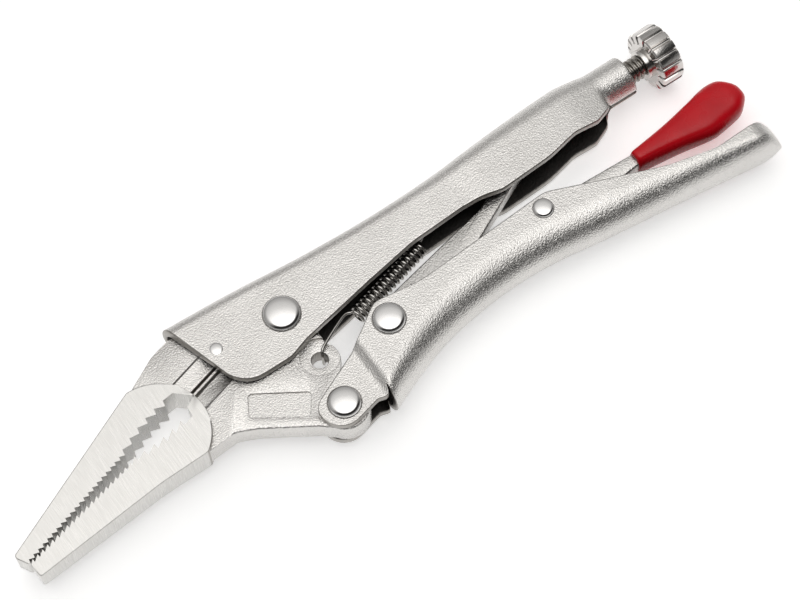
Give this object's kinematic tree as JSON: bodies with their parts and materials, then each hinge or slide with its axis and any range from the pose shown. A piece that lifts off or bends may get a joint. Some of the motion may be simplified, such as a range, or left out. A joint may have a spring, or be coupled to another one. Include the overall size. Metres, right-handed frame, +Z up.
{
  "type": "locking pliers",
  "caption": "Long-nose locking pliers with sheet-metal handles, a wire cutter, a toggle linkage, a red release lever and a knurled adjusting screw.",
  "frame": {"origin": "middle of the closed tool's box in X and Y, at the height of its lowest rivet head", "axes": "-X towards the tip of the nose, +X towards the adjusting knob, +Y from the lower handle to the upper one, +Z up, along the rivets"},
  "size_m": [0.165, 0.0386, 0.0131],
  "materials": {
    "plated_sheet": "satin",
    "jaw_steel": "ground and satin plated",
    "rivet_steel": "polished",
    "spring_steel": "oiled",
    "screw_steel": "satin",
    "red_vinyl": "gloss"
  },
  "bodies": {
    "upper_frame": {"upper_handle": "plated_sheet", "fixed_jaw": "jaw_steel", "fixed_jaw_pin": "rivet_steel", "main_pivot_rivet": "rivet_steel", "tension_spring": "spring_steel"},
    "jaw": {"movable_jaw": "jaw_steel"},
    "handle": {"lower_handle": "plated_sheet", "jaw_handle_rivet": "rivet_steel", "link_rivet": "rivet_steel", "lever_rivet": "rivet_steel"},
    "link": {"toggle_link": "plated_sheet"},
    "lever": {"release_lever": "plated_sheet", "lever_grip": "red_vinyl"},
    "screw": {"adjusting_screw": "screw_steel"},
    "knob": {"screw_knob": "screw_steel"}
  },
  "joints": [
    {"name": "jaw_hinge", "type": "hinge", "parent": "upper_frame", "child": "jaw", "pos_m": [-0.0176, 0.0071, 0.00655], "axis": [0, 0, 1], "range_deg": [0, 28], "deforming": ["tension_spring"]},
    {"name": "handle_hinge", "type": "hinge", "parent": "jaw", "child": "handle", "pos_m": [-0.01815, -0.0144, 0.00655], "axis": [0, 0, 1], "range_deg": [-90, 0]},
    {"name": "link_hinge", "type": "hinge", "parent": "handle", "child": "link", "pos_m": [-0.0022, -0.0057, 0.00655], "axis": [0, 0, 1], "range_deg": [0, 86.2]},
    {"name": "lever_hinge", "type": "hinge", "parent": "handle", "child": "lever", "pos_m": [0.0345, -0.00365, 0.00655], "axis": [0, 0, 1], "range_deg": [-7, 0]},
    {"name": "screw_slide", "type": "slide", "parent": "upper_frame", "child": "screw", "axis": [1, 0, 0], "range_m": [0, 0.01]},
    {"name": "knob_turn", "type": "hinge", "parent": "screw", "child": "knob", "pos_m": [0.0743, 0.0132, 0.00655], "axis": [1, 0, 0], "range_deg": [0, 3600]}
  ],
  "couplings": [
    {"joint": "jaw_hinge", "follows": "handle_hinge", "ratio": -0.31056},
    {"joint": "link_hinge", "follows": "handle_hinge", "ratio": -0.95652},
    {"joint": "screw_slide", "follows": "knob_turn", "m_per_rad": 0.00015915}
  ]
}
